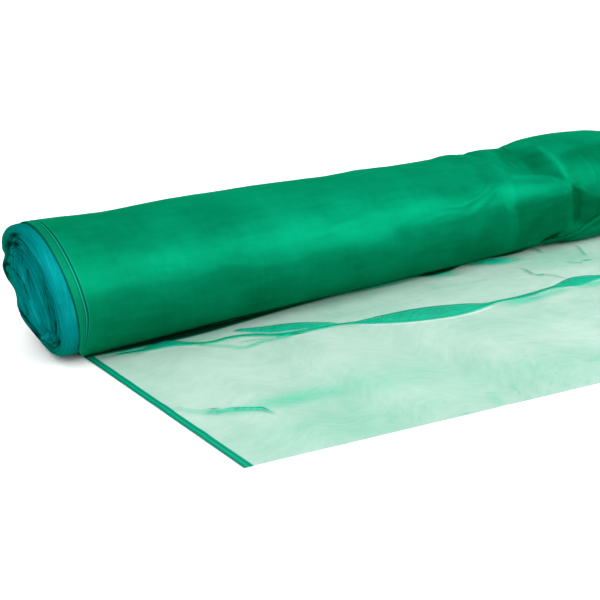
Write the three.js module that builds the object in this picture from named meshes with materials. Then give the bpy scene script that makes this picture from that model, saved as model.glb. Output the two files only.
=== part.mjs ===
// A roll of fine scaffold netting, wound without a core, lying on a floor with its loose end drawn
// out in front. Millimetres, +Z up. +X runs along the roll, from the end whose inner wraps stand
// out to the end where they are drawn in, and the loose end lies towards -Y.
import * as THREE from 'three';

// Driving dimensions
const netWidth = 1500; // selvedge to selvedge
const rollRadius = 100; // to the outermost wrap
const pressedFlat = 2.5; // how far the roll's weight flattens its underside
const rollShift = -42; // the wound net's selvedge, measured from the loose end's
const endLean = 16; // the roll's ends lean this much over at the top
const edgeReturn = 20; // at the floor the outermost wrap comes back this far to the loose end
const rimOut = 13; // the wraps inside the outermost one stand out this far past it
const sheetThickness = 1.2; // knitted net with the air that it traps
const looseLength = 445; // from under the roll's axis to the cut edge, along the first selvedge
const cutSlant = 0.172; // the cut runs out of square by this share of the width
const seatGap = 0.3; // between the roll and the loose end

// Mesh fineness
const roundSteps = 48;
const sheetColumns = 52;

// Stations along the roll, closer where it is most uneven.
const stations = [
  { upTo: 50, step: 25 },
  { upTo: 650, step: 60 },
  { upTo: 1250, step: 30 },
  { upTo: 1500, step: 50 },
];

// The wound net seen across, from its outermost wrap in to its heart: radius, how much of the
// rim's stand-out it has, and how much of the slack channel round the heart is felt there.
const wraps = [
  { radius: 100, out: 0, channel: 0 },
  { radius: 98.5, out: 0.05, channel: 0 },
  { radius: 97.5, out: 0.6, channel: 0 },
  { radius: 93.5, out: 1, channel: 0 },
  { radius: 86, out: 1.1, channel: 0.3 },
  { radius: 78, out: 1, channel: 1 },
  { radius: 70, out: 1.05, channel: 0.8 },
  { radius: 62, out: 1.2, channel: 0 },
  { radius: 42, out: 1.3, channel: 0 },
  { radius: 20, out: 1.2, channel: 0 },
  { radius: 0, out: 1, channel: 0 },
];
const channelDepth = 9;

// Where the first end's rim stands further out or further in than the rest: place round the roll
// in degrees from the front (90 is the top), half turn, and how far out.
const rimLobes = [
  { round: 126, turn: 32, out: 2 },
  { round: 157, turn: 10, out: -3 },
  { round: 169, turn: 17, out: 6 },
  { round: 193, turn: 15, out: -7 },
  { round: 213, turn: 20, out: 1 },
  { round: 255, turn: 42, out: -6 },
];

// The first end's rim shrinks away from the outermost wrap on its underside.
const tuck = { round: -80, turn: 62, share: 0.052 };

// The roll's upper outline: how far it stands over a true cylinder along its length.
const upperLine = [
  { x: -75, high: 3.2 },
  { x: -25, high: 2.5 },
  { x: 70, high: 0 },
  { x: 170, high: 3.4 },
  { x: 340, high: 4 },
  { x: 480, high: 1.6 },
  { x: 553, high: 2.9 },
  { x: 640, high: 1.5 },
  { x: 725, high: 1.8 },
  { x: 765, high: 5.2 },
  { x: 806, high: 0.8 },
  { x: 848, high: 5.2 },
  { x: 912, high: 3.2 },
  { x: 941, high: 7.7 },
  { x: 977, high: 13.8 },
  { x: 1050, high: 17 },
  { x: 1110, high: 16 },
  { x: 1164, high: 12.6 },
  { x: 1220, high: 5.3 },
  { x: 1300, high: 2 },
  { x: 1480, high: 0 },
];
const upperRound = 104;
const upperTurn = 78;

// Other swells and hollows of the wound net: place along the roll, place round it, half length,
// half turn, lean in millimetres a degree, and height.
const lumps = [
  { along: 95, round: 22, long: 110, turn: 38, lean: 0.4, high: 1.8 },
  { along: 235, round: -6, long: 120, turn: 34, lean: -0.6, high: -2.0 },
  { along: 430, round: 2, long: 150, turn: 34, lean: -0.5, high: 2.4 },
  { along: 640, round: -22, long: 125, turn: 36, lean: 0.3, high: -3.4 },
  { along: 700, round: 30, long: 120, turn: 24, lean: 0.8, high: 2.6 },
  { along: 790, round: 55, long: 60, turn: 20, lean: -0.8, high: -3.2 },
  { along: 905, round: 60, long: 92, turn: 32, lean: 0, high: -8 },
  { along: 900, round: 24, long: 100, turn: 20, lean: -0.6, high: 4 },
  { along: 905, round: -22, long: 105, turn: 34, lean: 0.5, high: -4 },
  { along: 1003, round: -4, long: 34, turn: 34, lean: -0.4, high: -5.5 },
  { along: 1100, round: 26, long: 120, turn: 44, lean: -0.6, high: 7 },
  { along: 1150, round: -46, long: 175, turn: 26, lean: 0.5, high: 9 },
  { along: 1360, round: 20, long: 120, turn: 60, lean: 0.5, high: -2.5 },
  { along: 380, round: 195, long: 190, turn: 50, lean: 0.5, high: 2.0 },
  { along: 820, round: 185, long: 160, turn: 46, lean: -0.6, high: -2.6 },
  { along: 1120, round: 205, long: 150, turn: 40, lean: 0.6, high: 4.5 },
];

// The long flat-laid pleat that runs across the loose end: its middle, how high it stands and its
// half width.
const pleat = [
  { x: 0, y: -52, high: 0, wide: 12 },
  { x: 100, y: -58, high: 1, wide: 13 },
  { x: 165, y: -84, high: 2, wide: 13 },
  { x: 206, y: -88, high: 2.5, wide: 14 },
  { x: 235, y: -84, high: 3.5, wide: 17 },
  { x: 267, y: -100, high: 4, wide: 21 },
  { x: 300, y: -112, high: 4, wide: 23 },
  { x: 340, y: -126, high: 3, wide: 17 },
  { x: 380, y: -145, high: 2.5, wide: 12 },
  { x: 397, y: -150, high: 2.5, wide: 12 },
  { x: 432, y: -166, high: 3.5, wide: 17 },
  { x: 470, y: -178, high: 4.5, wide: 24 },
  { x: 510, y: -187, high: 4.5, wide: 28 },
  { x: 545, y: -196, high: 4.5, wide: 29 },
  { x: 580, y: -205, high: 4.5, wide: 24 },
  { x: 612, y: -211, high: 3.5, wide: 17 },
  { x: 663, y: -220, high: 2.5, wide: 11 },
  { x: 697, y: -226, high: 3, wide: 12 },
  { x: 779, y: -231, high: 3, wide: 12 },
  { x: 812, y: -229, high: 3, wide: 13 },
  { x: 843, y: -228, high: 4, wide: 18 },
  { x: 871, y: -230, high: 3.5, wide: 15 },
  { x: 905, y: -235, high: 3, wide: 12 },
  { x: 1000, y: -240, high: 2.5, wide: 13 },
  { x: 1130, y: -246, high: 2, wide: 14 },
  { x: 1300, y: -256, high: 1.5, wide: 14 },
  { x: 1500, y: -262, high: 0, wide: 14 },
];

// Short creases: where each starts and ends on the floor, its height and its half width.
const creases = [
  { fromX: 20, fromY: -272, toX: 112, toY: -334, high: 3.5, wide: 13 },
  { fromX: 374, fromY: -466, toX: 352, toY: -506, high: 2.5, wide: 14 },
  { fromX: 556, fromY: -472, toX: 684, toY: -500, high: 3.5, wide: 17 },
  { fromX: 828, fromY: -112, toX: 845, toY: -216, high: 3.5, wide: 14 },
  { fromX: 905, fromY: -120, toX: 976, toY: -164, high: 3, wide: 14 },
  { fromX: 938, fromY: -80, toX: 968, toY: -34, high: 3, wide: 13 },
  { fromX: 1040, fromY: -76, toX: 978, toY: -144, high: 3, wide: 13 },
];

// How the loose end's rows are spread between the roll and the cut edge: before the pleat, over
// it, and on to the cut edge.
const rowsBefore = 4;
const rowsOverPleat = 6;
const rowsAfter = 12;

const netGreen = { color: 0x00905c, roughness: 0.55, metalness: 0 };
const sheetGreen = { color: 0x6cc9a2, roughness: 0.6, metalness: 0 };

const degrees = 180 / Math.PI;
const axisHeight = rollRadius - pressedFlat;

// 1 in the middle, 0 at a distance of 1 and beyond, with soft shoulders.
function bump(t) {
  const a = Math.min(1, Math.abs(t));
  return (1 - a * a) ** 2;
}

// The shortest way round from one angle to another, in degrees.
function turnBetween(a, b) {
  return ((a - b + 540) % 360) - 180;
}

// A table's columns at x, with a smooth curve through its rows.
function along(table, x, columns) {
  const last = table.length - 1;
  let i = 0;
  while (i < last - 1 && table[i + 1].x < x) i += 1;
  const [a, b] = [table[i], table[i + 1]];
  const before = table[Math.max(0, i - 1)];
  const after = table[Math.min(last, i + 2)];
  const t = Math.min(1, Math.max(0, (x - a.x) / (b.x - a.x)));
  return columns.map((key) => {
    const slopeA = ((b[key] - before[key]) / (b.x - before.x)) * (b.x - a.x);
    const slopeB = ((after[key] - a[key]) / (after.x - a.x)) * (b.x - a.x);
    return a[key] * (1 + 2 * t) * (1 - t) ** 2 + slopeA * t * (1 - t) ** 2
      + b[key] * t * t * (3 - 2 * t) + slopeB * t * t * (t - 1);
  });
}

// How far the wraps swell or sink at a place on the roll.
function swelling(x, angle) {
  const [line] = along(upperLine, x, ['high']);
  let high = line * bump(turnBetween(angle, upperRound) / upperTurn);
  for (const lump of lumps) {
    const turn = turnBetween(angle, lump.round);
    const step = x - lump.along - lump.lean * turn;
    high += lump.high * bump(step / lump.long) * bump(turn / lump.turn);
  }
  return high;
}

// The slack channel between heart and outer wraps gapes at the upper back and the lower back.
function channelShare(angle) {
  return bump(turnBetween(angle, 135) / 80) + bump(turnBetween(angle, -112) / 46);
}

// How far the first end's rim stands out past the outermost wrap. The lobes fade to the heart.
function rimAt(angle, share) {
  let out = rimOut;
  for (const lobe of rimLobes) {
    out += share ** 3 * lobe.out * bump(turnBetween(angle, lobe.round) / lobe.turn);
  }
  return out;
}

// Height of the roll's skin over the floor, straight above a line this far in front of its axis.
function skinHeight(front) {
  return Math.max(0, axisHeight - Math.sqrt(rollRadius ** 2 - front ** 2));
}

// The roll's rings from the middle of its first end to the middle of its last: the radius, the
// station along it, and at the ends the wrap, from 0 at the outermost to the heart.
function rollRings() {
  const rings = [];
  for (let i = wraps.length - 1; i > 0; i -= 1) rings.push({ ...wraps[i], at: 0, side: -1 });
  let at = 0;
  for (const run of stations) {
    const steps = Math.round((run.upTo - at) / run.step);
    const from = at;
    for (let i = 0; i < steps; i += 1) {
      at = from + ((run.upTo - from) * i) / steps;
      rings.push({ ...wraps[0], at, side: 0 });
    }
    at = run.upTo;
  }
  for (const wrap of wraps) rings.push({ ...wrap, at: netWidth, side: 1 });
  return rings;
}

// Where the point of a ring at an angle from the front stands.
function rollPoint(ring, angle) {
  const turn = angle * degrees;
  const share = ring.radius / rollRadius;
  const sunk = channelDepth * ring.channel * channelShare(turn);
  const near = Math.max(0, 1 - ring.at / 100) * (ring.side < 0 ? 0 : 1);
  const under = edgeReturn * near * bump(turnBetween(turn, -80) / 40);
  const tucked = ring.side < 0 ? tuck.share * bump(turnBetween(turn, tuck.round) / tuck.turn) : 0;
  let x = ring.at + rollShift - endLean * share * Math.sin(angle) + under;
  if (ring.side < 0) x += sunk - ring.out * rimAt(turn, share);
  if (ring.side > 0) x -= sunk + ring.out * rimOut;
  const radius = ring.radius * (1 - tucked) + share ** 2 * swelling(x, turn);
  const lowest = 0.6 * (rollRadius - ring.radius);
  const z = Math.max(lowest, axisHeight + radius * Math.sin(angle));
  return new THREE.Vector3(x, -radius * Math.cos(angle), z);
}

function makeRoll() {
  const rings = rollRings();
  const profile = rings.map((ring, i) => new THREE.Vector2(ring.radius, i));
  const geometry = new THREE.LatheGeometry(profile, roundSteps);
  const points = geometry.getAttribute('position');
  for (let i = 0; i < points.count; i += 1) {
    const ring = rings[Math.round(points.getY(i))];
    const angle = Math.atan2(points.getX(i), -points.getZ(i));
    points.setXYZ(i, ...rollPoint(ring, angle));
  }
  geometry.computeVertexNormals();
  const roll = new THREE.Mesh(geometry, new THREE.MeshStandardMaterial(netGreen));
  roll.name = 'netting_roll';
  return roll;
}

// Distance from a crease's line, and how far along it, from 0 to 1.
function acrossCrease(crease, x, y) {
  const runX = crease.toX - crease.fromX;
  const runY = crease.toY - crease.fromY;
  const long = Math.hypot(runX, runY);
  const share = ((x - crease.fromX) * runX + (y - crease.fromY) * runY) / long ** 2;
  const off = ((x - crease.fromX) * runY - (y - crease.fromY) * runX) / long;
  return { share, off };
}

// How far the loose end stands off the floor.
function sheetHeight(x, y) {
  const [crest, rise, wide] = along(pleat, x, ['y', 'high', 'wide']);
  let high = Math.max(0, rise) * bump((y - crest) / wide);
  for (const crease of creases) {
    const { share, off } = acrossCrease(crease, x, y);
    high += crease.high * bump(off / crease.wide) * bump(2 * share - 1);
  }
  return high;
}

// The rows of the loose end, from the roll to the cut edge, as places at x.
function rowPlaces(x, root) {
  const [crest, wide] = along(pleat, x, ['y', 'wide']);
  const nearSide = crest + wide;
  const farSide = crest - wide;
  const cut = -looseLength - cutSlant * x;
  const rows = [];
  for (let i = 0; i < rowsBefore; i += 1) rows.push(root + ((nearSide - root) * i) / rowsBefore);
  for (let i = 0; i < rowsOverPleat; i += 1) {
    rows.push(nearSide + ((farSide - nearSide) * i) / rowsOverPleat);
  }
  for (let i = 0; i <= rowsAfter; i += 1) rows.push(farSide + ((cut - farSide) * i) / rowsAfter);
  return rows;
}

// Where the loose end's upper side would touch the roll's underside, with a small gap left.
function rootPlace() {
  let front = 0;
  while (skinHeight(front) < sheetThickness + seatGap) front += 0.1;
  return -front;
}

function makeLooseEnd() {
  const rowCount = rowsBefore + rowsOverPleat + rowsAfter;
  const root = rootPlace();
  const geometry = new THREE.BoxGeometry(1, 1, 1, sheetColumns, rowCount, 1);
  const points = geometry.getAttribute('position');
  for (let i = 0; i < points.count; i += 1) {
    const x = (points.getX(i) + 0.5) * netWidth;
    const row = Math.round((0.5 - points.getY(i)) * rowCount);
    const y = rowPlaces(x, root)[row];
    const top = points.getZ(i) > 0 ? sheetThickness : 0;
    points.setXYZ(i, x, y, sheetHeight(x, y) + top);
  }
  geometry.computeVertexNormals();
  const sheet = new THREE.Mesh(geometry, new THREE.MeshStandardMaterial(sheetGreen));
  sheet.name = 'loose_end';
  return sheet;
}

// The origin is on the floor, under the middle of the whole object.
const group = new THREE.Group();
group.add(makeRoll(), makeLooseEnd());
const middle = new THREE.Box3().setFromObject(group, true).getCenter(new THREE.Vector3());
for (const mesh of group.children) mesh.geometry.translate(-middle.x, -middle.y, 0);

export default group;
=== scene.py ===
import math

import bmesh
import bpy
import numpy as np
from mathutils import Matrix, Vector


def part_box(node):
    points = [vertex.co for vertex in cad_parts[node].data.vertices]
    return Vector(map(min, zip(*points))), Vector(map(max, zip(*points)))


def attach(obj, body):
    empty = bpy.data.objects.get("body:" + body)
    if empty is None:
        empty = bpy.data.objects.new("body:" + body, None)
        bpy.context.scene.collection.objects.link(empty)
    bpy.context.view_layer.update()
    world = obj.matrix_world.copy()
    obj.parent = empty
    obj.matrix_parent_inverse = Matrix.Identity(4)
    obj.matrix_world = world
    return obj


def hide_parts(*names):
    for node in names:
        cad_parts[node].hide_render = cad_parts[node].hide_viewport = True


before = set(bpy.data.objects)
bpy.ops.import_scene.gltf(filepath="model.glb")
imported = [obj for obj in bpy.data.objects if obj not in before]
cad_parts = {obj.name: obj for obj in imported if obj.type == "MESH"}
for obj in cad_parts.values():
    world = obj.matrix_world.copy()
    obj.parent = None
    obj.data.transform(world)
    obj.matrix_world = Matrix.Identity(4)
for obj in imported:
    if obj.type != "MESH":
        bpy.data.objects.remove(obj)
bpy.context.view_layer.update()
scene = bpy.context.scene

# Lengths are in metres. The net is laid out from one corner: its first selvedge where it lies
# free (x), the line under the roll's axis (y) and the floor (z). Places round the roll are in
# degrees from its front, and 90 is the top.
roll = {
    "width": 1.500,  # selvedge to selvedge
    "radius": 0.100,
    "pressed": 0.0025,  # flattened on its underside
    "shift": -0.042,  # the wound net's selvedge, from the loose end's
    "lean": 0.016,  # the ends lean over at the top
    "edgeReturn": 0.020,  # the outermost turn comes back to the loose end at the floor
    "rimOut": 0.013,  # the turns inside it stand out
}
cut = {"length": 0.445, "slant": 0.172}
axisHeight = roll["radius"] - roll["pressed"]
looseLow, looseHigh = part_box("loose_end")
corner = Vector((looseLow.x, looseLow.y + cut["length"] + cut["slant"] * roll["width"], 0))


# ---------- small maths on whole arrays

def bump(t):
    a = np.minimum(1, np.abs(t))
    return (1 - a * a) ** 2


def turnBetween(a, b):
    return (a - b + 540) % 360 - 180


def ease(t):
    t = np.clip(t, 0, 1)
    return t * t * (3 - 2 * t)


def tableAt(rows, x, column=1):
    # a smooth curve through a table's rows
    xs = np.array([row[0] for row in rows], float)
    ys = np.array([row[column] for row in rows], float)
    last = len(xs) - 1
    i = np.clip(np.searchsorted(xs, x, side="left") - 1, 0, last - 1)
    before, after = np.maximum(0, i - 1), np.minimum(last, i + 2)
    span = xs[i + 1] - xs[i]
    t = np.clip((x - xs[i]) / span, 0, 1)
    slopeA = (ys[i + 1] - ys[before]) / (xs[i + 1] - xs[before]) * span
    slopeB = (ys[after] - ys[i]) / (xs[after] - xs[i]) * span
    return (
        ys[i] * (1 + 2 * t) * (1 - t) ** 2 + slopeA * t * (1 - t) ** 2
        + ys[i + 1] * t * t * (3 - 2 * t) + slopeB * t * t * (t - 1)
    )


def ripple(a, b, seed, sizeA, sizeB, waves=9):
    # soft unevenness from a few crossed waves of about the given lengths, from -1 to 1
    pick = np.random.RandomState(seed)
    total = np.zeros_like(a)
    for _ in range(waves):
        stepsA = (0.55 + 0.9 * pick.rand()) / sizeA * (1 if pick.rand() < 0.5 else -1)
        stepsB = (0.55 + 0.9 * pick.rand()) / sizeB
        total += np.sin(2 * math.pi * (stepsA * a + stepsB * b + pick.rand()))
    return total / (0.62 * waves)


def unevenTurns(radius, turn, seed, size, waves=8):
    # one turn stands out more than the next, and each wanders as it goes round
    pick = np.random.RandomState(seed)
    total = np.zeros_like(radius)
    for _ in range(waves):
        sway = 0.5 * pick.rand() * np.sin(np.radians(pick.randint(1, 4) * turn) + 6 * pick.rand())
        total += np.sin(2 * math.pi * (radius / (size * (0.5 + pick.rand())) + sway + pick.rand()))
    return total / (0.62 * waves)


def strokeNear(a, b, points, half, taper=0.25):
    # 1 on a bent line through the points, falling to 0 at its half width and towards its ends
    best, spot, length = np.full_like(a, 9.0), np.zeros_like(a), 0.0
    for (fromA, fromB), (toA, toB) in zip(points, points[1:]):
        runA, runB = toA - fromA, toB - fromB
        step = math.hypot(runA, runB)
        share = np.clip(((a - fromA) * runA + (b - fromB) * runB) / step ** 2, 0, 1)
        off = np.hypot(a - fromA - share * runA, b - fromB - share * runB)
        spot = np.where(off < best, length + share * step, spot)
        best = np.minimum(best, off)
        length += step
    ends = np.minimum(spot, length - spot) / (taper * length)
    return bump(best / half) * ease(ends + 0.12)


def spread(runs):
    # places along a length, from runs of start, end and step
    parts = [np.linspace(a, b, max(1, round((b - a) / step)), endpoint=False)
             for a, b, step in runs]
    return np.append(np.concatenate(parts), runs[-1][1])


def insideCorners(a, b, corners, soft):
    # 1 inside a many-cornered patch, falling to 0 outside it
    deep = np.full_like(a, 9.0)
    area = sum(p[0] * q[1] - q[0] * p[1] for p, q in zip(corners, corners[1:] + corners[:1]))
    inward = 1 if area > 0 else -1
    for p, q in zip(corners, corners[1:] + corners[:1]):
        side = math.hypot(q[0] - p[0], q[1] - p[1])
        off = ((q[0] - p[0]) * (b - p[1]) - (q[1] - p[1]) * (a - p[0])) / side
        deep = np.minimum(deep, inward * off)
    return ease(deep / soft + 0.5)


# ---------- the wound form: the same swells and hollows as in the solids

upperLine = [  # along the roll, how far its upper outline stands over a true cylinder
    (-0.075, 0.0032), (-0.025, 0.0025), (0.070, 0.0), (0.170, 0.0034), (0.340, 0.0040),
    (0.480, 0.0016), (0.553, 0.0029), (0.640, 0.0015), (0.725, 0.0018), (0.765, 0.0052),
    (0.806, 0.0008), (0.848, 0.0052), (0.912, 0.0032), (0.941, 0.0077), (0.977, 0.0138),
    (1.050, 0.0170), (1.110, 0.0160), (1.164, 0.0126), (1.220, 0.0053), (1.300, 0.0020),
    (1.480, 0.0),
]
lumps = [  # place along, place round, half length, half turn, lean a degree, height
    (0.095, 22, 0.110, 38, 0.0004, 0.0018), (0.235, -6, 0.120, 34, -0.0006, -0.0020),
    (0.430, 2, 0.150, 34, -0.0005, 0.0024), (0.640, -22, 0.125, 36, 0.0003, -0.0034),
    (0.700, 30, 0.120, 24, 0.0008, 0.0026), (0.790, 55, 0.060, 20, -0.0008, -0.0032),
    (0.905, 60, 0.092, 32, 0.0, -0.0080), (0.900, 24, 0.100, 20, -0.0006, 0.0040),
    (0.905, -22, 0.105, 34, 0.0005, -0.0040), (1.003, -4, 0.034, 34, -0.0004, -0.0055),
    (1.100, 26, 0.120, 44, -0.0006, 0.0070), (1.150, -46, 0.175, 26, 0.0005, 0.0090),
    (1.360, 20, 0.120, 60, 0.0005, -0.0025), (0.380, 195, 0.190, 50, 0.0005, 0.0020),
    (0.820, 185, 0.160, 46, -0.0006, -0.0026), (1.120, 205, 0.150, 40, 0.0006, 0.0045),
]
rimLobes = [  # place round, half turn, how far out
    (126, 32, 0.002), (157, 10, -0.003), (169, 17, 0.006), (193, 15, -0.007),
    (213, 20, 0.001), (255, 42, -0.006),
]
wraps = [  # radius, share of the rim's stand-out, share of the slack channel
    (0.000, 1.00, 0.0), (0.020, 1.20, 0.0), (0.042, 1.30, 0.0), (0.062, 1.20, 0.0),
    (0.070, 1.05, 0.8), (0.078, 1.00, 1.0), (0.086, 1.10, 0.3), (0.0935, 1.00, 0.0),
    (0.0975, 0.60, 0.0), (0.0985, 0.05, 0.0), (0.100, 0.0, 0.0),
]


def swelling(x, turn):
    high = tableAt(upperLine, x) * bump(turnBetween(turn, 104) / 78)
    for at, middle, reach, half, lean, lift in lumps:
        t = turnBetween(turn, middle)
        high = high + lift * bump((x - at - lean * t) / reach) * bump(t / half)
    return high


def rimAt(turn, share):
    out = np.full_like(turn, roll["rimOut"])
    for middle, half, lift in rimLobes:
        out += share ** 3 * lift * bump(turnBetween(turn, middle) / half)
    return out


def rolled(x, turn, radius, low=0.0):
    # points at a place along and round the roll, never lower than the given height
    a = np.radians(turn)
    return np.stack([x, -radius * np.cos(a), np.maximum(low, axisHeight + radius * np.sin(a))], -1)


# ---------- mesh helpers

def spunTube(rings, around):
    # a straight row of points spun round the x axis: returns each point's ring and turn
    mesh = bmesh.new()
    tip = mesh.verts.new((0, 0, -1))
    for i in range(rings):
        tip = bmesh.ops.extrude_vert_indiv(mesh, verts=[tip])["verts"][0]
        tip.co.x = i + 1
    bmesh.ops.spin(mesh, geom=mesh.verts[:] + mesh.edges[:], axis=(1, 0, 0), cent=(0, 0, 0),
                   dvec=(0, 0, 0), angle=2 * math.pi, steps=around, use_merge=True)
    spots = np.array([vert.co for vert in mesh.verts])
    turn = np.degrees(np.arctan2(spots[:, 2], -spots[:, 1]))
    return mesh, np.rint(spots[:, 0]), (turn + 90.01) % 360 - 90.01


def flatGrid(columns, rows):
    # a grid of cloth: returns each point's column and row
    mesh = bmesh.new()
    bmesh.ops.create_grid(mesh, x_segments=columns, y_segments=rows, size=1)
    spots = np.array([vert.co[:2] for vert in mesh.verts])
    return mesh, np.rint((spots[:, 0] + 1) / 2 * columns), np.rint((spots[:, 1] + 1) / 2 * rows)


def place(mesh, spots, laid, girth=None):
    # moves each point to its place, and keeps where it lies in the cloth as a UV map
    mesh.verts.index_update()
    for vert, spot in zip(mesh.verts, spots):
        vert.co = Vector(spot) + corner
    layer = mesh.loops.layers.uv.new("laid")
    for face in mesh.faces:
        across = [laid[loop.vert.index][1] for loop in face.loops]
        crosses = girth and max(across) - min(across) > girth / 2
        for loop, v in zip(face.loops, across):
            u = laid[loop.vert.index][0]
            loop[layer].uv = (u, v + girth if crosses and v < girth / 2 else v)


def keep(mesh, **marks):
    # numbers for each point, which the finish reads by name
    for name, values in marks.items():
        layer = mesh.verts.layers.float.new(name)
        for vert, value in zip(mesh.verts, values):
            vert[layer] = float(value)


def makePiece(name, mesh, finish, node):
    bmesh.ops.recalc_face_normals(mesh, faces=mesh.faces)
    data = bpy.data.meshes.new(name)
    mesh.to_mesh(data)
    mesh.free()
    data.materials.append(finish)
    data.polygons.foreach_set("use_smooth", [True] * len(data.polygons))
    piece = bpy.data.objects.new(name, data)
    scene.collection.objects.link(piece)
    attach(piece, "root")
    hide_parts(node)
    print(name, "has", len(data.polygons), "faces")
    return piece


# ---------- shader maths

class Wire:
    def __init__(self, tree, socket):
        self.tree, self.socket = tree, socket

    def maths(self, operation, a, b):
        return self.tree.add("ShaderNodeMath", {"operation": operation}, {0: a, 1: b})

    def __add__(self, other):
        return self.maths("ADD", self, other)

    def __radd__(self, other):
        return self.maths("ADD", other, self)

    def __sub__(self, other):
        return self.maths("SUBTRACT", self, other)

    def __rsub__(self, other):
        return self.maths("SUBTRACT", other, self)

    def __mul__(self, other):
        return self.maths("MULTIPLY", self, other)

    def __rmul__(self, other):
        return self.maths("MULTIPLY", other, self)

    def wave(self, pitch):
        # -1 to 1, once over each pitch
        return self.maths("SINE", self * (2 * math.pi / pitch), 0)

    def clamp(self):
        return self.tree.add("ShaderNodeClamp", {}, {0: self})

    def between(self, low, high, fade):
        # 1 from low to high, falling to 0 over fade at both sides
        rise = self.tree.add("ShaderNodeMapRange", {"interpolation_type": "SMOOTHSTEP"},
                             {0: self, 1: low - fade, 2: low})
        fall = self.tree.add("ShaderNodeMapRange", {"interpolation_type": "SMOOTHSTEP"},
                             {0: self, 1: high, 2: high + fade})
        return rise * (1 - fall)


class Tree:
    def __init__(self, name):
        self.material = bpy.data.materials.new(name)
        self.material.use_nodes = True
        self.material.node_tree.nodes.clear()

    def add(self, kind, settings, sockets, out=0):
        node = self.material.node_tree.nodes.new(kind)
        for key, value in settings.items():
            setattr(node, key, value)
        for key, value in sockets.items():
            if isinstance(value, Wire):
                self.material.node_tree.links.new(value.socket, node.inputs[key])
            else:
                node.inputs[key].default_value = value
        return Wire(self, node.outputs[out])

    def laid(self):
        spot = self.add("ShaderNodeUVMap", {"uv_map": "laid"}, {})
        u = self.add("ShaderNodeSeparateXYZ", {}, {0: spot})
        v = self.add("ShaderNodeSeparateXYZ", {}, {0: spot}, out=1)
        return spot, u, v

    def mark(self, name):
        return self.add("ShaderNodeAttribute", {"attribute_name": name}, {}, out="Fac")

    def mix(self, share, a, b):
        return self.add("ShaderNodeMix", {"data_type": "RGBA"}, {0: share, 6: a, 7: b}, out=2)

    def noise(self, spot, size, detail=3.0, roughness=0.5, stretch=(1, 1, 1)):
        # soft blotches of about the given size, centred on 0
        stretched = self.add("ShaderNodeMapping", {}, {"Vector": spot, "Scale": stretch})
        return self.add("ShaderNodeTexNoise", {}, {
            "Vector": stretched, "Scale": 1 / size, "Detail": detail, "Roughness": roughness}) - 0.5

    def bumped(self, height, strength, distance):
        return self.add("ShaderNodeBump", {}, {
            "Height": height, "Strength": strength, "Distance": distance})

    def cover(self, sockets):
        # closes the tree with one surface shader
        shader = self.add("ShaderNodeBsdfPrincipled", {}, sockets)
        output = self.material.node_tree.nodes.new("ShaderNodeOutputMaterial")
        self.material.node_tree.links.new(shader.socket, output.inputs["Surface"])
        return self.material


# ---------- the outermost turn, which shows as the roll's skin

# the skin's colours: deep and bright are its shaded and lit ends; line and light are painted shade
# and painted highlight along the selvedge; the last is a painted shadow
woundLook = {
    "deep": (0.0, 0.076, 0.028, 1), "bright": (0.001, 0.245, 0.122, 1),
    "band": (0.002, 0.155, 0.080, 1), "line": (0.0, 0.050, 0.038, 1),
    "light": (0.008, 0.250, 0.160, 1), "night": (0.0, 0.020, 0.009, 1),
    "wale": 0.0016, "course": 0.00125, "metallic": 0.45, "roughness": 0.42,
}


def woundNet():
    look = woundLook
    t = Tree("wound_net")
    laid, u, v = t.laid()
    tone, hem, night = t.mark("tone"), t.mark("hem"), t.mark("night")
    cloud = t.noise(laid, 0.085, 5.0, 0.6, (0.8, 1.3, 1.0))
    slanted = t.noise(laid, 0.030, 3.0, 0.55, (0.4, 1.6, 1.0))  # short soft streaks
    around = t.noise(laid, 1.0, 3.0, 0.6, (150.0, 6.0, 1.0))  # faint streaks round the roll
    length = t.noise(laid, 1.0, 3.0, 0.55, (10.0, 90.0, 1.0))  # and along it
    wale, course = u.wave(look["wale"]), v.wave(look["course"])
    weave = wale * course
    # painted light from the skin's marks, with random cloudy variation and faint streaks
    shade = tone + cloud * 0.80 + slanted * 0.16 + around * 0.18 + length * 0.20 + weave * 0.02
    colour = t.mix(shade.clamp(), look["deep"], look["bright"])
    slant = (u + v * 0.8).wave(0.0042)
    crossed = (u - v * 0.8).wave(0.0042)
    net = (slant * crossed * 0.28 + 0.66 + around * 0.8).clamp()
    colour = t.mix(hem.between(0.0014, 0.0116, 0.0008) * net, colour, look["band"])
    # along the selvedge: painted shade in its grooves and under its edge, and painted highlights on
    # its ridge
    dark = hem.between(-0.0010, 0.0017, 0.0008) + hem.between(0.0117, 0.0124, 0.0006) * 0.7 \
        + hem.between(0.0152, 0.0168, 0.0010)
    colour = t.mix((dark * 0.85).clamp(), colour, look["line"])
    lit = hem.between(0.0132, 0.0142, 0.0006) + hem.between(0.0182, 0.0190, 0.0010) * 0.35
    colour = t.mix((lit * 0.8).clamp(), colour, look["light"])
    # painted shadow in the nip under the roll and in the crevice by the lip
    colour = t.mix(night.clamp(), colour, look["night"])
    height = wale * 0.35 + course * 0.25 + around * 2.0 + length * 1.2
    return t.cover({
        "Base Color": colour, "Metallic": look["metallic"], "Specular IOR Level": 0.0,
        "Roughness": (look["roughness"] + cloud * 0.16 + weave * 0.02).clamp(),
        "Specular Tint": (0.0, 1.0, 0.62, 1), "Normal": t.bumped(height, 0.25, 0.0005)})


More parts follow.
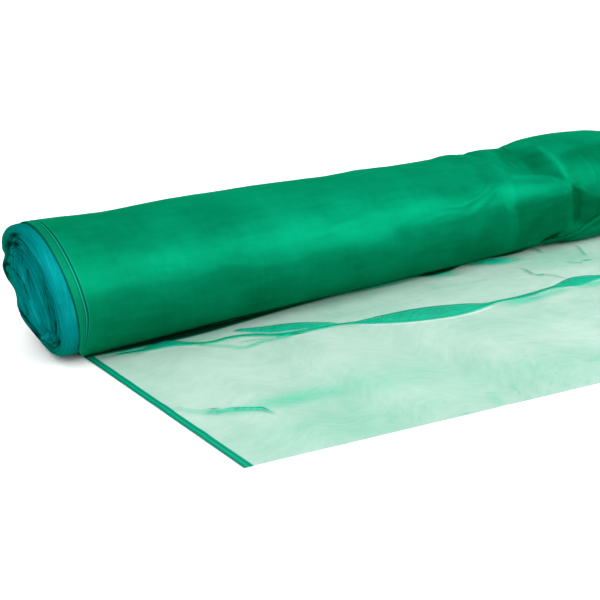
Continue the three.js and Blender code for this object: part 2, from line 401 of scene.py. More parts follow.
skin = {"around": 200, "girth": 0.6283, "lip": 0.0012, "uneven": 0.00045, "inset": 0.005}
ringRuns = [  # places along the net where the roll's rings lie: from, to, step
    (0.0, 0.060, 0.0011), (0.060, 0.720, 0.0064), (0.720, 1.200, 0.0029), (1.200, 1.474, 0.0100),
    (1.474, 1.500, 0.0013),
]
bandLow = [  # along, the lower side of the painted highlight band round the roll's front
    (-0.060, 9), (0.029, 11), (0.091, 10), (0.138, 6), (0.172, 9), (0.199, 12), (0.242, 7),
    (0.296, 2), (0.373, 7), (0.433, 6), (0.486, 4), (0.522, 4), (0.540, 13), (0.586, 12),
    (0.680, 10), (0.757, 15), (0.795, 14), (0.812, 7), (0.830, 15), (0.863, 17), (0.918, 15),
    (0.969, 13), (0.998, 16), (1.034, 7), (1.100, 0), (1.500, 4),
]
bandHigh = [  # and its upper side
    (-0.060, 42), (0.009, 32), (0.052, 30), (0.090, 32), (0.130, 40), (0.200, 45), (0.300, 52),
    (0.450, 58), (0.600, 66), (0.720, 78), (0.850, 60), (1.000, 40), (1.200, 50), (1.500, 45),
]
facets = [  # corners along and round, softness in metres, how high, how much painted light (below 0, painted shade)
    ([(0.860, 96), (0.955, 80), (0.972, 32), (0.905, 42), (0.838, 52)], 0.026, -0.0012, -0.24),
    ([(0.905, 74), (0.957, 74), (0.974, 31), (0.905, 42)], 0.007, -0.0005, -0.14),
    ([(0.768, 68), (0.826, 64), (0.806, 42), (0.750, 46)], 0.020, -0.0008, -0.12),
    ([(0.826, 10), (0.985, 12), (0.992, -40), (0.860, -46)], 0.014, -0.0010, -0.20),
    ([(0.540, 8), (0.800, 8), (0.826, -50), (0.548, -50)], 0.018, -0.0004, -0.06),
    ([(0.260, 86), (0.600, 86), (0.690, -44), (0.340, -50)], 0.090, 0.0, 0.10),
    ([(0.620, 50), (0.790, 44), (0.800, 12), (0.640, 12)], 0.050, 0.0, -0.08),
    ([(0.828, 38), (0.980, 34), (0.990, 14), (0.830, 12)], 0.016, 0.0006, -0.10),
    ([(0.804, 40), (0.832, 40), (0.824, 4), (0.802, 6)], 0.012, 0.0006, 0.06),
    ([(-0.070, 96), (0.115, 96), (0.105, 34), (0.012, 36)], 0.030, 0.0, -0.06),
    ([(0.984, 60), (1.300, 70), (1.400, -30), (1.060, -34), (0.992, -20)], 0.020, 0.0, -0.29),
    ([(0.985, -50), (1.045, -50), (1.056, -37), (1.090, -28), (1.200, -16), (1.200, -70),
      (1.050, -68)], 0.005, 0.0026, 0.10),
]
strokes = [  # a bent line's points along and round, half width, height, how much painted light (below 0, painted shade), painted shadow
    ([(0.958, 84), (0.974, 56), (0.985, 28)], 0.006, 0.0010, 0.14, 0),
    ([(0.832, 44), (0.880, 41), (0.925, 38)], 0.007, 0.0008, 0.12, 0),
    ([(0.915, 40), (0.958, 30), (0.990, 14)], 0.006, 0.0008, 0.08, 0),
    ([(0.996, 24), (1.004, 8), (1.010, -8), (1.014, -20), (1.006, -32)], 0.013, -0.0022, -0.24, 0),
    ([(0.984, 30), (0.996, 25), (1.002, 18), (1.014, 17), (1.030, 11)], 0.0035, 0.0010, 0.14, 0),
    ([(0.990, 22), (1.000, 15), (1.012, 12)], 0.0035, -0.0010, -0.14, 0),
    ([(0.985, 14), (0.983, 0), (0.988, -20)], 0.006, 0.0008, 0.04, 0),
    ([(0.806, 118), (0.808, 100), (0.818, 76)], 0.005, -0.0030, -0.12, 0),
    ([(0.796, 112), (0.790, 90), (0.776, 75)], 0.006, 0.0012, 0.08, 0),
    ([(0.822, 112), (0.832, 90), (0.852, 72)], 0.007, 0.0020, 0.10, 0),
    ([(0.850, 78), (0.872, 60), (0.880, 50)], 0.0035, 0.0008, 0.10, 0),
    ([(0.832, 72), (0.846, 60), (0.856, 52)], 0.003, 0.0006, 0.14, 0),
    ([(0.812, 66), (0.828, 56), (0.834, 50)], 0.003, 0.0006, 0.12, 0),
    ([(0.912, 122), (0.910, 104), (0.890, 80)], 0.005, -0.0034, -0.14, 0),
    ([(0.926, 114), (0.940, 98), (0.956, 80)], 0.007, 0.0016, 0.04, 0),
    ([(0.700, 10), (0.750, 22), (0.800, 38)], 0.009, 0.0012, 0.06, 0),
    ([(0.690, 24), (0.740, 28), (0.790, 44)], 0.005, 0.0008, 0.08, 0),
    ([(0.600, 15), (0.650, 18), (0.700, 16)], 0.004, 0.0006, 0.08, 0),
    ([(0.650, 25), (0.690, 22), (0.730, 26)], 0.005, 0.0008, 0.08, 0),
    ([(0.295, 8), (0.325, 26)], 0.004, 0.0006, 0.06, 0),
    ([(0.080, 16), (0.086, 26), (0.082, 36)], 0.004, 0.0004, 0.08, 0),
    ([(0.104, 12), (0.112, 22), (0.110, 32)], 0.004, 0.0004, 0.10, 0),
    ([(0.126, 10), (0.134, 18), (0.132, 28)], 0.004, 0.0004, 0.08, 0),
    ([(0.180, 22), (0.220, 30), (0.270, 32)], 0.008, 0.0004, 0.05, 0),
    ([(0.340, 20), (0.410, 24), (0.480, 32)], 0.010, 0.0005, 0.05, 0),
    ([(0.940, -50), (0.956, -45), (0.972, -41), (0.986, -38)], 0.011, -0.0030, -0.50, 1.0),
    ([(0.945, -52), (0.970, -47), (1.000, -46), (1.022, -44)], 0.005, -0.0040, -0.30, 0.8),
    ([(0.975, -42), (1.028, -48), (1.040, -44), (1.048, -35), (1.062, -30), (1.082, -25),
      (1.150, -14)], 0.0045, 0.0016, 0.34, 0),
    ([(1.025, -40), (1.040, -36), (1.050, -28), (1.085, -18)], 0.007, -0.0020, -0.22, 0),
    ([(1.000, -57), (1.040, -56), (1.070, -45), (1.100, -35), (1.160, -27)],
     0.004, 0.0010, 0.16, 0),
    ([(1.000, -53), (1.036, -52), (1.058, -40), (1.090, -31), (1.160, -20)],
     0.003, -0.0010, -0.20, 0),
    ([(1.030, 62), (1.052, 40), (1.060, 18)], 0.008, 0.0010, 0.02, 0),
    ([(1.110, 92), (1.134, 60), (1.150, 18)], 0.010, 0.0010, 0.0, 0),
    ([(1.190, 82), (1.210, 50), (1.220, 8)], 0.012, -0.0014, -0.06, 0),
    ([(1.260, 72), (1.300, 0)], 0.012, 0.0010, 0.05, 0),
    ([(0.020, -64), (0.120, -60), (0.300, -57), (0.460, -60)], 0.012, 0.0, -0.30, 1.3),
    ([(0.380, -66), (0.560, -68), (0.700, -68), (0.800, -64)], 0.007, 0.0, -0.20, 0.8),
    ([(0.780, -66), (0.860, -60), (0.930, -55)], 0.010, -0.0010, -0.30, 1.3),
]


def makeSkin(finish):
    s = skin
    stations = spread(ringRuns)
    mesh, ring, turn = spunTube(len(stations) - 1, s["around"])
    u = stations[ring.astype(int)]
    edge = roll["shift"] + s["inset"] - roll["lean"] * np.sin(np.radians(turn))
    back = np.clip(1 - u / 0.1, 0, 1) * bump(turnBetween(turn, -80) / 40)
    x = edge + u + roll["edgeReturn"] * back
    arc = np.radians(turn) * roll["radius"]
    size = roll["radius"] + swelling(x, turn)
    size += 0.0022 * bump((x - 1.080) / 0.075) * bump(turnBetween(turn, -64) / 17)
    # painted light on the skin: brighter in a painted highlight band round the front and on the
    # top, dimmer below the band, and painted shade on the underside
    low, high = tableAt(bandLow, x), tableAt(bandHigh, x)
    band = ease((turn - low + 2) / 5) * ease((high - turn + 12) / 22)
    under, over = ease((low - turn) / 14), ease((turn - high + 10) / 30)
    tone = 0.47 + 0.17 * band - 0.05 * under + 0.12 * over
    tone -= 0.22 * ease((-46 - turn) / 24)
    night = np.zeros_like(x)
    # facets and strokes also paint light and shade: brighter on faces and ridges that catch the
    # light, dimmer in hollows and creases
    for corners, soft, lift, lighter in facets:
        patch = [(a, math.radians(b) * roll["radius"]) for a, b in corners]
        inside = insideCorners(x, arc, patch, soft)
        size += lift * inside
        tone += lighter * inside
    for points, half, lift, lighter, much in strokes:
        line = [(a, math.radians(b) * roll["radius"]) for a, b in points]
        near = strokeNear(x, arc, line, half)
        size += lift * near
        tone += lighter * near
        # the last stroke column is a near-black painted shadow in the nip under the roll and in the
        # crevice by the lip
        night += much * near
    away = ease(u / 0.05)
    wavy = ripple(x, arc, 21, 0.15, 0.09) + 0.5 * ripple(x, arc, 5, 0.05, 0.14)
    size += s["uneven"] * away * wavy
    hem = u * (1 + 0.9 * ease((-2 - turn) / 45) * (turn < 90))
    hem = np.minimum(hem, roll["width"] - u)
    size -= 0.0004 * bump((hem - 0.012) / 0.0012) + 0.0005 * bump((hem - 0.0160) / 0.0016)
    size += 0.0004 * bump((hem - 0.0138) / 0.0012)
    ends = np.clip(1 - u / 0.003, 0, 1) + np.clip(1 - (roll["width"] - u) / 0.004, 0, 1)
    size -= s["lip"] * ends
    laid = np.stack([u, np.radians(turn + 90) * roll["radius"]], -1)
    underLip = 0.0016 * bump((x - 1.080) / 0.090) * ease((-turn - 56) / 8) * ease((turn + 78) / 6)
    place(mesh, rolled(x, turn, size, low=underLip), laid, s["girth"])
    keep(mesh, tone=tone, hem=hem, night=night)
    return makePiece("outer_turn", mesh, finish, "netting_roll")


# ---------- the turns inside it: one closed body that shows at both ends

# the end faces' colours, mixed by painted light and shade and by random variation
turnsLook = {
    "deep": (0.0, 0.006, 0.005, 1), "middle": (0.0, 0.135, 0.128, 1),
    "bright": (0.002, 0.235, 0.245, 1), "green": (0.0, 0.130, 0.075, 1),
}


def woundTurns():
    look = turnsLook
    t = Tree("wound_turns")
    laid, u, v = t.laid()
    ridge, glow, leaf = t.mark("ridge"), t.mark("glow"), t.mark("leaf")
    spot = t.add("ShaderNodeTexCoord", {}, {}, out="Object")
    cloud = t.noise(spot, 0.030, 4.0, 0.6)
    grain = t.noise(spot, 0.0020, 2.0, 0.6)
    fine = t.noise(laid, 1.0, 3.0, 0.65, (520.0, 14.0, 1.0))  # the edges of single turns
    # painted light and shade from the end faces' marks, with random cloudy variation
    shade = glow + ridge * 0.24 + cloud * 0.50 + grain * 0.20 + fine * 0.85
    colour = t.mix((shade * 2).clamp(), look["deep"], look["middle"])
    colour = t.mix((shade * 2 - 1).clamp(), colour, look["bright"])
    colour = t.mix((leaf * 0.9).clamp(), colour, look["green"])
    return t.cover({
        "Base Color": colour, "Roughness": (0.52 + cloud * 0.2).clamp(), "Metallic": 0.25,
        "Specular IOR Level": 0.0, "Specular Tint": (0.0, 1.0, 1.0, 1),
        "Normal": t.bumped(grain + fine * 1.2, 0.45, 0.0008)})


turns = {
    "outer": 0.0985,  # just under the outermost turn
    "faceRings": 190, "bodyRings": 60, "lastRings": 90, "around": 200, "pitch": 0.0022,
    "ridge": 0.0006, "slide": 0.0018, "channel": 0.006, "under": 0.0070, "slit": 0.042,
    "slitTurn": 115.2, "slitRise": 0.008, "slitBack": -0.012,
}
gaps = [  # on the first end: place round, half turn, radius, half width, depth, how much painted light (below 0, painted shade)
    (-118, 17, 0.0740, 0.0180, 0.0150, -1.10), (-121, 13, 0.0930, 0.0080, 0.0, -0.80),
    (-46, 16, 0.0760, 0.0100, 0.0070, -0.70), (-84, 26, 0.0800, 0.0070, 0.0040, -0.40),
    (112, 40, 0.0640, 0.0080, 0.0020, -0.24), (80, 30, 0.0560, 0.0060, 0.0018, -0.20),
    (168, 22, 0.0890, 0.0070, 0.0030, -0.46), (138, 26, 0.0840, 0.0060, 0.0030, -0.44),
    (108, 22, 0.0820, 0.0060, 0.0024, -0.40), (0, 60, 0.0620, 0.0120, 0.0020, -0.22),
    (-158, 44, 0.0440, 0.0080, 0.0020, -0.20), (-144, 20, 0.0830, 0.0070, 0.0020, -0.24),
    (50, 50, 0.0450, 0.0035, 0.0012, -0.18), (24, 50, 0.0710, 0.0030, 0.0010, -0.16),
    (60, 44, 0.0800, 0.0030, 0.0010, -0.14),
]
foldLines = [  # across its turns: points back from the axis and up, half width, depth, how much painted light (below 0, painted shade)
    ([(0.062, 0.131), (0.028, 0.113), (0.015, 0.095), (0.008, 0.087)], 0.0032, 0.0016, -0.44),
    ([(-0.003, 0.161), (0.010, 0.129), (0.002, 0.097)], 0.0030, 0.0014, -0.34),
    ([(0.029, 0.140), (0.018, 0.116), (0.009, 0.097)], 0.0034, -0.0010, 0.20),
    ([(0.078, 0.118), (0.080, 0.092), (0.084, 0.070)], 0.0050, -0.0010, 0.22),
    ([(0.085, 0.072), (0.082, 0.055), (0.062, 0.044), (0.056, 0.036)], 0.0050, 0.0020, -0.34),
    ([(0.043, 0.076), (0.036, 0.060), (0.050, 0.037)], 0.0036, 0.0018, -0.40),
    ([(0.010, 0.092), (0.002, 0.075), (-0.010, 0.066), (-0.020, 0.058)], 0.0120, -0.0014, 0.26),
    ([(-0.058, 0.107), (-0.059, 0.090), (-0.056, 0.071), (-0.050, 0.053)], 0.0040, 0.0012, -0.26),
    ([(-0.050, 0.131), (-0.054, 0.112), (-0.051, 0.090)], 0.0030, 0.0010, -0.22),
    ([(-0.068, 0.083), (-0.064, 0.064), (-0.052, 0.048)], 0.0036, 0.0012, -0.28),
    ([(-0.047, 0.158), (-0.063, 0.143), (-0.072, 0.122), (-0.076, 0.103)], 0.0034, 0.0010, -0.20),
    ([(0.091, 0.123), (0.078, 0.123), (0.055, 0.121)], 0.0040, 0.0026, -0.46),
    ([(0.093, 0.109), (0.083, 0.109), (0.081, 0.099)], 0.0034, 0.0016, -0.30),
    ([(0.077, 0.143), (0.063, 0.156), (0.052, 0.162), (0.002, 0.170)], 0.0040, 0.0024, -0.44),
    ([(0.046, 0.172), (0.016, 0.184), (-0.017, 0.190)], 0.0036, 0.0010, -0.28),
    ([(0.086, 0.136), (0.049, 0.147), (0.030, 0.146)], 0.0034, 0.0018, -0.34),
    ([(0.027, 0.010), (0.011, 0.025), (-0.052, 0.054)], 0.0050, -0.0030, 0.34),
    ([(-0.030, 0.060), (-0.045, 0.055), (-0.034, 0.029)], 0.0036, 0.0020, -0.34),
]


def makeTurns(finish):
    s = turns
    total = s["faceRings"] + s["bodyRings"] + s["lastRings"]
    mesh, ring, turn = spunTube(total, s["around"])
    body = ring - s["faceRings"]
    first, last = body <= 0, body >= s["bodyRings"]
    hidden = ~first & ~last
    inner = np.where(first, ring / s["faceRings"], (total - ring) / s["lastRings"])
    radius = s["outer"] * np.clip(inner, 0, 1) ** 0.93
    share = radius / roll["radius"]
    flat = 1 - radius / s["outer"]  # the heart is wound flat, so the turns there are long
    leans = roll["lean"] * share * np.sin(np.radians(turn))
    out, slack = tableAt(wraps, radius, 1), tableAt(wraps, radius, 2)
    gape = bump(turnBetween(turn, 135) / 80) + bump(turnBetween(turn, -112) / 46)
    crest = np.abs(np.sin(math.pi * (radius / s["pitch"] + turn / 360))) ** 0.6
    wander = unevenTurns(radius, turn, 4, 0.0090) + 0.5 * unevenTurns(radius, turn, 9, 0.0040)
    fade = ease(radius / 0.004) * ease((0.0965 - radius) / 0.004)
    stand = fade * (s["ridge"] * (crest - 0.5) + s["slide"] * wander)
    sunk = s["channel"] * slack * gape
    # painted light and shade on the end faces: dimmer in the gaps and fold grooves, brighter on the
    # folds that stand out
    glow, dark = np.full_like(radius, 0.48), np.zeros_like(radius)
    for middle, half, at, wide, deep, darker in gaps:
        near = bump(turnBetween(turn, middle) / half) * bump((radius - at) / wide) * first
        sunk = sunk + deep * near
        glow = glow + darker * near
        dark = np.maximum(dark, -darker * near)
    firstX = roll["shift"] - leans + sunk - out * rimAt(turn, share) - stand
    lastX = roll["width"] + roll["shift"] - leans - sunk - out * roll["rimOut"] + stand
    bodyShare = np.clip(body / s["bodyRings"], 0, 1)
    middleX = roll["shift"] - leans + 0.02 + (roll["width"] - 0.04) * bodyShare
    x = np.where(first, firstX, np.where(last, lastX, middleX))
    tuck = 0.052 * bump(turnBetween(turn, -80) / 62) * first
    size = radius * (1 - tuck) + share ** 2 * swelling(x, turn)
    size = np.where(hidden, roll["radius"] + swelling(x, turn) - s["under"], size)
    flat = np.where(hidden, 0, flat)
    low = np.where(hidden, 0.0022, 0.6 * (roll["radius"] - radius))
    spots = rolled(x, turn, size, low)
    slit = math.radians(s["slitTurn"])
    longer = s["slit"] * flat ** 1.5 * np.cos(np.radians(turn) - slit)
    spots[:, 1] += s["slitBack"] * flat ** 2 - longer * math.cos(slit)
    spots[:, 2] += s["slitRise"] * flat ** 2 + longer * math.sin(slit)
    for points, half, deep, darker in foldLines:
        near = first * strokeNear(spots[:, 1], spots[:, 2], points, half)
        near = near * ease((0.0960 - radius) / 0.003)
        spots[:, 0] += deep * near
        glow = glow + darker * near
        dark = np.maximum(dark, -darker * near)
    # a painted highlight on the outer turns at the front of the rim
    glow = glow + 0.24 * ease((radius - 0.0800) / 0.014) * bump(turnBetween(turn, 24) / 80)
    glow = glow + 0.08 * bump((radius - 0.020) / 0.030) * bump(turnBetween(turn, -110) / 100)
    # a little dimmer near the back, and painted shade in the slack channel on the last end
    glow = glow - 0.04 * bump(turnBetween(turn, 165) / 70) - 0.35 * sunk / s["channel"] * ~first
    ridge = fade * ((crest - 0.6) * 0.8 + 0.45 * wander)
    leaf = bump(turnBetween(turn, 150) / 80) * ease((radius - 0.05) / 0.04) \
        + 0.8 * bump(turnBetween(turn, -70) / 56) * ease((radius - 0.06) / 0.02)
    leaf = leaf * (1 - np.clip(2 * dark, 0, 1))
    laid = np.stack([radius + 0.5 * x, np.radians(turn + 90) * roll["radius"]], -1)
    place(mesh, spots, laid, skin["girth"])
    keep(mesh, ridge=ridge, glow=glow, leaf=leaf)
    bmesh.ops.remove_doubles(mesh, verts=mesh.verts, dist=0.00001)
    return makePiece("wound_turns", mesh, finish, "netting_roll")


# ---------- the loose end: one sheer layer with its laid-over pleat

sheerLook = {
    "thread": (0.0, 0.285, 0.160, 1), "packed": (0.001, 0.600, 0.365, 1),
    "line": (0.0, 0.170, 0.105, 1), "night": (0.0, 0.036, 0.017, 1),
    "cover": 0.405, "wale": 0.0016, "course": 0.00125,
}


def sheerNet():
    look = sheerLook
    t = Tree("sheer_net")
    laid, u, v = t.laid()
    gather, line, night = t.mark("gather"), t.mark("line"), t.mark("night")
    cloud = t.noise(laid, 0.120, 4.0, 0.55)
    small = t.noise(laid, 0.022, 4.0, 0.6)
    streak = t.noise(laid, 1.0, 3.0, 0.6, (16.0, 110.0, 1.0))
    weave = u.wave(look["wale"]) * v.wave(look["course"])
    far = roll["width"] - u
    hem = u.between(0.0, 0.0112, 0.0012) + far.between(0.0, 0.0112, 0.0012)
    edges = u.between(-0.001, 0.0034, 0.0012) + u.between(0.0076, 0.0104, 0.0010) * 0.85 \
        + far.between(-0.001, 0.0030, 0.0012) * 0.85 + far.between(0.0076, 0.0100, 0.0010) * 0.75
    crinkle = t.noise(laid, 1.0, 3.0, 0.6, (60.0, 150.0, 1.0))
    pucker = ((crinkle - 0.10).clamp() * 5.0).clamp() * ((v - 0.32) * 5.0).clamp() \
        * (cloud * 3.0 + 0.7).clamp()
    fold = ((gather - 0.2) * 5.0).clamp()
    lengthwise = t.noise(laid, 1.0, 3.0, 0.6, (16.0, 120.0, 1.0))
    colour = t.mix((gather * 1.6 + small * 0.3).clamp(), look["thread"], look["packed"])
    colour = t.mix((fold * (lengthwise * 7.0).clamp() * 0.55).clamp(), colour, look["line"])
    colour = t.mix((edges + line).clamp(), colour, look["line"])
    # painted shadow in the nip under the roll, which also makes the net there opaque
    colour = t.mix(night.clamp(), colour, look["night"])
    cover = look["cover"] + cloud * 0.20 + small * 0.12 + streak * 0.10 + weave * 0.015 \
        + pucker * 0.22
    cover = (cover + gather * 0.62 + hem * 1.1 + line * 0.6 + night).clamp()
    height = streak * 2.0 + small * 1.2 + crinkle * 1.5
    return t.cover({
        "Base Color": colour, "Alpha": cover, "Roughness": (0.5 + small * 0.2).clamp(),
        "Specular IOR Level": 0.05, "Normal": t.bumped(height, 0.25, 0.0006)})


loose = {"layer": 0.0013, "root": -0.0290, "lap": 0.006}
columnRuns = [(0.0, 0.2, 0.0021), (0.2, 0.8, 0.0035), (0.8, 1.1, 0.0022), (1.1, 1.5, 0.0080)]
rowRuns = [  # stretches of net from the roll to the cut edge, and their rows
    ("toBack", 30), ("backUnder", 5), ("backTurn", 3), ("backOver", 10), ("between", 24),
    ("frontUnder", 9), ("frontTurn", 4), ("frontOver", 18), ("toCut", 96),
]
frontPleat = [  # along, the pleat's back edge, its front edge
    (0.000, -0.0500, -0.0500), (0.043, -0.0515, -0.0530), (0.074, -0.0550, -0.0605),
    (0.100, -0.0510, -0.0640), (0.124, -0.0480, -0.0680), (0.145, -0.0660, -0.0780),
    (0.163, -0.0820, -0.0870), (0.182, -0.0880, -0.0920), (0.206, -0.0870, -0.0920),
    (0.229, -0.0910, -0.0970), (0.250, -0.1010, -0.1090), (0.267, -0.1140, -0.1230),
    (0.288, -0.1240, -0.1330), (0.320, -0.1310, -0.1380), (0.350, -0.1360, -0.1410),
    (0.372, -0.1405, -0.1440), (0.397, -0.1480, -0.1530), (0.432, -0.1550, -0.1760),
    (0.470, -0.1590, -0.1960), (0.510, -0.1640, -0.2110), (0.545, -0.1720, -0.2200),
    (0.580, -0.1860, -0.2240), (0.612, -0.2000, -0.2225), (0.635, -0.2100, -0.2200),
    (0.667, -0.2140, -0.2175), (0.697, -0.2178, -0.2245), (0.732, -0.2190, -0.2276),
    (0.763, -0.2185, -0.2245), (0.794, -0.2175, -0.2235), (0.820, -0.2140, -0.2310),
    (0.840, -0.2105, -0.2390), (0.860, -0.2085, -0.2390), (0.878, -0.2120, -0.2375),
    (0.900, -0.2180, -0.2360), (0.920, -0.2257, -0.2345),
    (0.960, -0.2350, -0.2410), (1.100, -0.2450, -0.2490), (1.300, -0.2550, -0.2580),
    (1.450, -0.2600, -0.2600), (1.500, -0.2620, -0.2620),
]
backPleat = [
    (0.000, -0.0400, -0.0400), (0.190, -0.0560, -0.0560), (0.225, -0.0680, -0.0684),
    (0.240, -0.0740, -0.0800), (0.254, -0.0800, -0.0930), (0.277, -0.0880, -0.1100),
    (0.301, -0.0940, -0.1180), (0.330, -0.1060, -0.1270), (0.352, -0.1210, -0.1340),
    (0.368, -0.1330, -0.1380), (0.390, -0.1400, -0.1400), (0.440, -0.1300, -0.1300),
    (0.600, -0.1100, -0.1100), (0.800, -0.1000, -0.1000), (1.500, -0.1400, -0.1400),
]
creases = [  # a bent line's points, half width, height, gather, dark line
    ([(0.014, -0.258), (0.030, -0.284), (0.046, -0.300)], 0.0060, 0.0028, 0.26, 0.10),
    ([(0.036, -0.297), (0.052, -0.305), (0.072, -0.308), (0.090, -0.320), (0.104, -0.330),
      (0.110, -0.352)], 0.0052, 0.0030, 0.40, 0.85),
    ([(0.044, -0.290), (0.062, -0.298)], 0.0040, 0.0020, 0.30, 0.50),
    ([(0.841, -0.106), (0.834, -0.129), (0.826, -0.150), (0.828, -0.163), (0.838, -0.160),
      (0.846, -0.173), (0.851, -0.188), (0.857, -0.205)], 0.0042, 0.0020, 0.16, 0.80),
    ([(0.956, -0.030), (0.957, -0.048), (0.950, -0.068)], 0.0045, 0.0020, 0.26, 0.75),
    ([(0.937, -0.131), (0.940, -0.142), (0.950, -0.154), (0.973, -0.152), (0.990, -0.152)],
     0.0042, 0.0020, 0.20, 0.70),
    ([(1.049, -0.064), (1.036, -0.087), (1.013, -0.114), (0.999, -0.135)],
     0.0042, 0.0020, 0.14, 0.55),
    ([(0.152, -0.088), (0.182, -0.116), (0.200, -0.138), (0.216, -0.144)],
     0.0050, 0.0024, 0.40, 0.16),
    ([(0.200, -0.143), (0.240, -0.136), (0.300, -0.140)], 0.0050, 0.0024, 0.44, 0.34),
    ([(0.262, -0.139), (0.306, -0.139), (0.338, -0.137), (0.372, -0.142)],
     0.0050, 0.0024, 0.50, 0.20),
    ([(0.210, -0.118), (0.236, -0.124), (0.262, -0.130)], 0.0050, 0.0016, 0.30, 0.10),
    ([(0.040, -0.052), (0.072, -0.048), (0.120, -0.052)], 0.0050, 0.0012, 0.34, 0.20),
    ([(0.600, -0.100), (0.680, -0.118), (0.760, -0.126)], 0.0100, 0.0014, 0.06, 0.0),
    ([(0.560, -0.474), (0.620, -0.484), (0.680, -0.502)], 0.0120, 0.0030, 0.12, 0.0),
    ([(0.376, -0.464), (0.352, -0.508)], 0.0120, 0.0020, 0.12, 0.0),
    ([(1.150, -0.400), (1.400, -0.430)], 0.0160, 0.0030, 0.15, 0.0),
    ([(1.250, -0.120), (1.420, -0.180)], 0.0120, 0.0030, 0.20, 0.0),
]
haze = [  # where the net lies double or slack, and a painted shade in a strip along the nip in front of the roll: place x, y, half x, half y, slant, how much denser
    (0.150, -0.326, 0.110, 0.034, -0.20, 0.26), (0.240, -0.348, 0.200, 0.070, -0.16, 0.14),
    (0.070, -0.312, 0.060, 0.026, -0.40, 0.20), (0.330, -0.330, 0.240, 0.100, -0.20, 0.07),
    (0.705, -0.236, 0.080, 0.030, -0.06, 0.44), (0.780, -0.238, 0.090, 0.024, 0.02, 0.30),
    (0.865, -0.236, 0.060, 0.038, 0.00, 0.50), (0.900, -0.250, 0.100, 0.044, -0.10, 0.18),
    (0.560, -0.034, 0.180, 0.018, -0.04, 0.62), (0.690, -0.046, 0.060, 0.032, -0.30, 0.54),
    (0.450, -0.060, 0.260, 0.034, -0.10, 0.10), (0.620, -0.300, 0.300, 0.090, -0.20, 0.05),
    (0.800, -0.036, 0.060, 0.020, -0.10, 0.50), (0.835, -0.050, 0.080, 0.036, -0.25, 0.90),
    (0.900, -0.130, 0.080, 0.060, -0.40, 0.12),
    (0.960, -0.110, 0.140, 0.090, -0.40, 0.16), (0.290, -0.105, 0.070, 0.034, -0.50, 0.26),
    (0.130, -0.066, 0.140, 0.026, -0.24, 0.20), (0.050, -0.048, 0.070, 0.016, 0.00, 0.30),
    (0.430, -0.120, 0.200, 0.040, -0.20, 0.07), (0.160, -0.430, 0.260, 0.100, -0.20, 0.14),
    (0.500, -0.460, 0.420, 0.120, -0.20, 0.11), (1.200, -0.300, 0.260, 0.120, -0.20, 0.06),
]


nipShade = [  # along, how far out the painted shadow in the nip under the roll reaches
    (0.000, 0.036), (0.025, 0.038), (0.099, 0.048), (0.182, 0.052), (0.280, 0.044),
    (0.386, 0.034), (0.497, 0.028), (0.640, 0.032), (0.675, 0.046), (0.720, 0.044),
    (0.770, 0.030), (0.840, 0.030), (0.880, 0.037), (0.925, 0.035), (0.960, 0.026),
    (1.000, 0.030), (1.080, 0.024), (1.500, 0.030),
]


